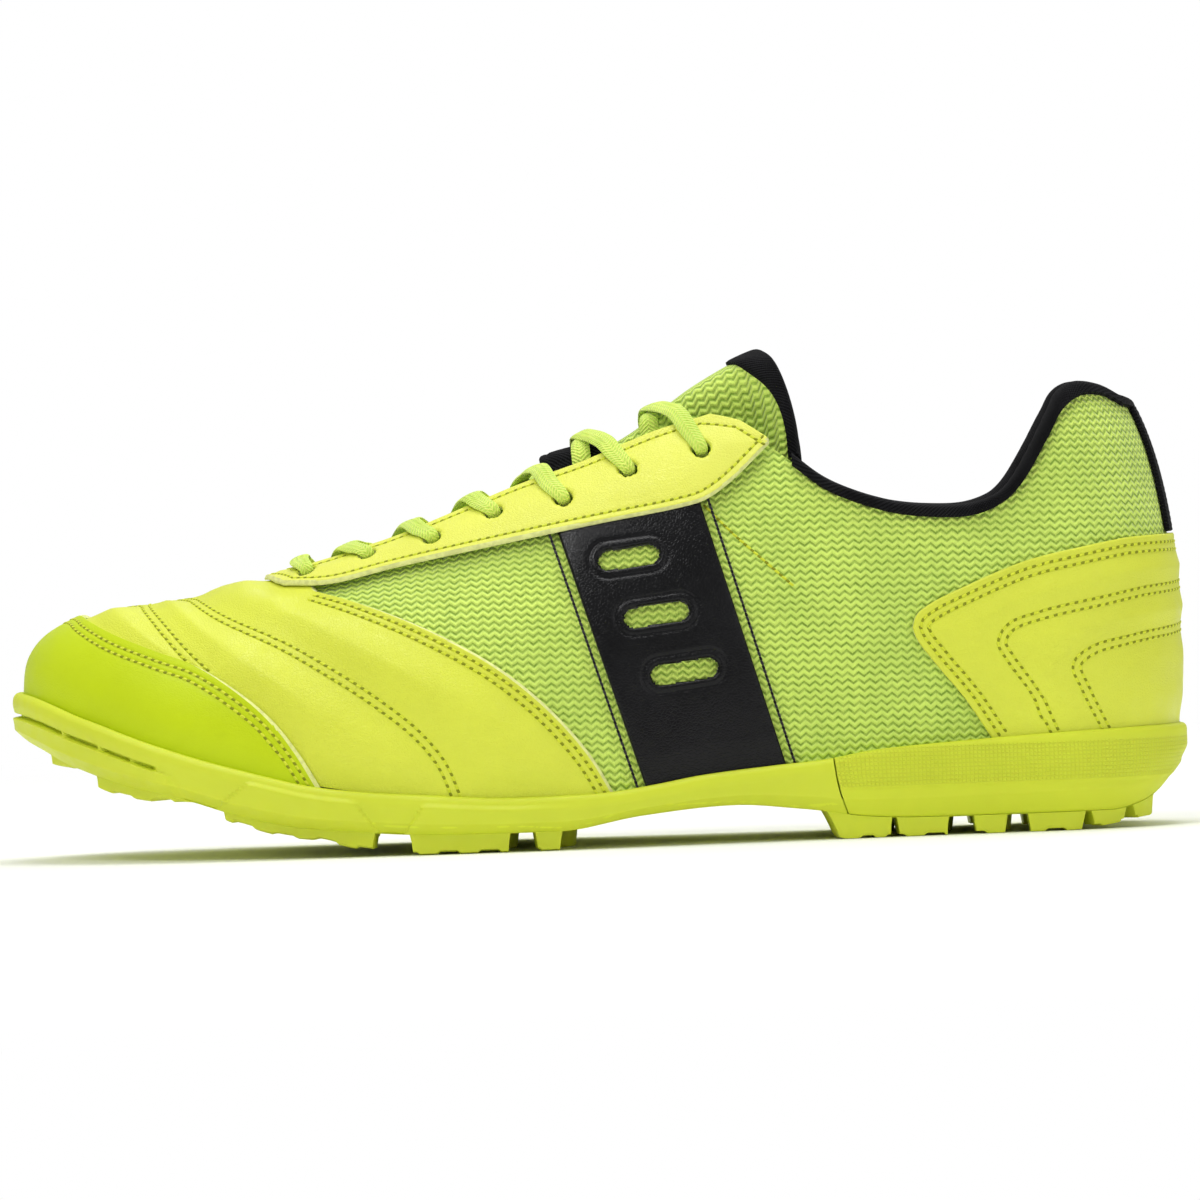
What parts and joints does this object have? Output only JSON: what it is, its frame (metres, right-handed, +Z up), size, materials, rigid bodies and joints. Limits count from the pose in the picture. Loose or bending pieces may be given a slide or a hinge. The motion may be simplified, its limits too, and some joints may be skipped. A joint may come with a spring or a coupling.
{
  "type": "turf soccer shoe",
  "caption": "Low-cut turf soccer shoe for the left foot: lugged rubber sole, foam heel, mesh quarters, stitched overlays, padded collar and a laced tongue.",
  "frame": {"origin": "on the ground, at the middle of the shoe's footprint box", "axes": "-X towards the toe, +X towards the heel, -Y towards the lateral side, +Y towards the medial side, +Z up"},
  "size_m": [0.2822, 0.0964, 0.1168],
  "materials": {
    "rubber_yellow": "moulded rubber, satin",
    "foam_yellow": "moulded EVA foam, fine grid texture, matt",
    "leather_yellow": "coated synthetic leather, satin",
    "leather_lime": "smooth coated synthetic leather, satin",
    "mesh_green": "zigzag knitted polyester mesh, matt",
    "lace_green": "flat woven polyester lace, matt",
    "fabric_black": "brushed textile, matt",
    "gloss_black": "smooth coated synthetic leather, glossy",
    "lining_white": "woven lining, matt",
    "board_white": "resin-stiffened non-woven board, matt",
    "foam_white": "open-cell foam, matt",
    "plastic_green": "heat-shrunk film, glossy"
  },
  "bodies": {
    "rearfoot": {"outsole_rearfoot": "rubber_yellow", "heel_midsole": "foam_yellow", "lasting_board": "board_white", "sock_liner": "fabric_black", "mesh_quarter_lateral": "mesh_green", "mesh_quarter_medial": "mesh_green", "quarter_lining_lateral": "fabric_black", "quarter_lining_medial": "fabric_black", "eyestay": "leather_yellow", "side_saddle_lateral": "gloss_black", "side_saddle_medial": "gloss_black", "heel_foxing": "leather_yellow", "heel_tape": "fabric_black", "heel_counter": "board_white", "collar_foam": "foam_white", "collar_lining": "fabric_black", "tongue_outer": "mesh_green", "tongue_foam": "foam_white", "tongue_lining": "fabric_black", "lace_keeper": "fabric_black", "lace": "lace_green", "aglet_lateral": "plastic_green", "aglet_medial": "plastic_green"},
    "forefoot": {"outsole_forefoot": "rubber_yellow", "toe_puff": "board_white", "vamp_lining": "lining_white", "vamp": "leather_yellow", "toe_cap": "leather_lime"},
    "tongue_tip": {"tongue_binding": "fabric_black"}
  },
  "joints": [
    {"name": "forefoot_flex", "type": "hinge", "parent": "rearfoot", "child": "forefoot", "pos_m": [-0.0494, 0, 0.0165], "axis": [0, 1, 0], "range_deg": [0, 35], "stiffness_Nm_per_rad": 1.5, "deforming": ["vamp", "vamp_lining", "lasting_board", "sock_liner", "eyestay", "lace", "tongue_outer", "tongue_foam", "tongue_lining", "quarter_lining_lateral", "quarter_lining_medial"]},
    {"name": "tongue_fold", "type": "hinge", "parent": "rearfoot", "child": "tongue_tip", "pos_m": [0.0306, 0, 0.101], "axis": [0, 1, 0], "range_deg": [-50, 8], "stiffness_Nm_per_rad": 0.01, "deforming": ["tongue_outer", "tongue_foam", "tongue_lining"]}
  ]
}
